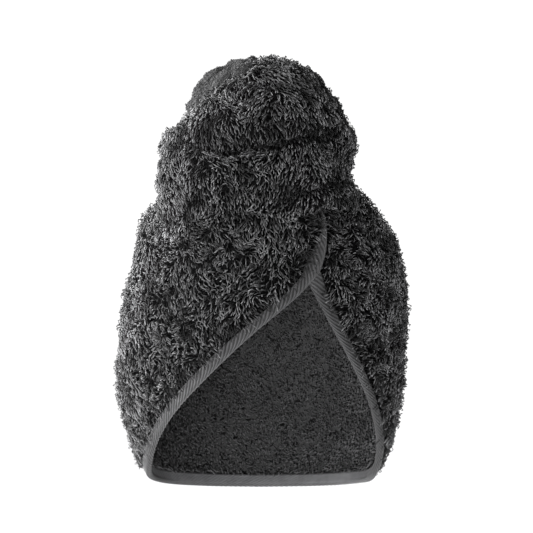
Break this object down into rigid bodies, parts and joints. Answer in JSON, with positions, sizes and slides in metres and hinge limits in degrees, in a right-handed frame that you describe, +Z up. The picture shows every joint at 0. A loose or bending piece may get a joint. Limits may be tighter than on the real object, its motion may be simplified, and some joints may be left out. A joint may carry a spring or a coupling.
{
  "type": "hair towel",
  "caption": "Plush terry hair towel in its twisted, worn form: a bound hood crossed at the forehead, a rolled bun over the crown and a twisted tail buttoned at the nape.",
  "frame": {"origin": "crown of the head hollow's inner face, where the wearer's head holds the towel up", "axes": "+Z up along the wearer's head, the face opening looks along -Y, and +X is the wearer's left"},
  "size_m": [0.224, 0.2809, 0.3419],
  "materials": {
    "terry": "long-loop cotton terry, dark charcoal, matt",
    "binding_tape": "folded twill tape with oblique ribs, charcoal, matt",
    "button": "plain moulded button, satin black"
  },
  "bodies": {
    "root": {"left_panel": "terry", "right_panel": "terry", "edge_binding": "binding_tape", "twisted_tail": "terry", "tail_button": "button"}
  },
  "joints": []
}
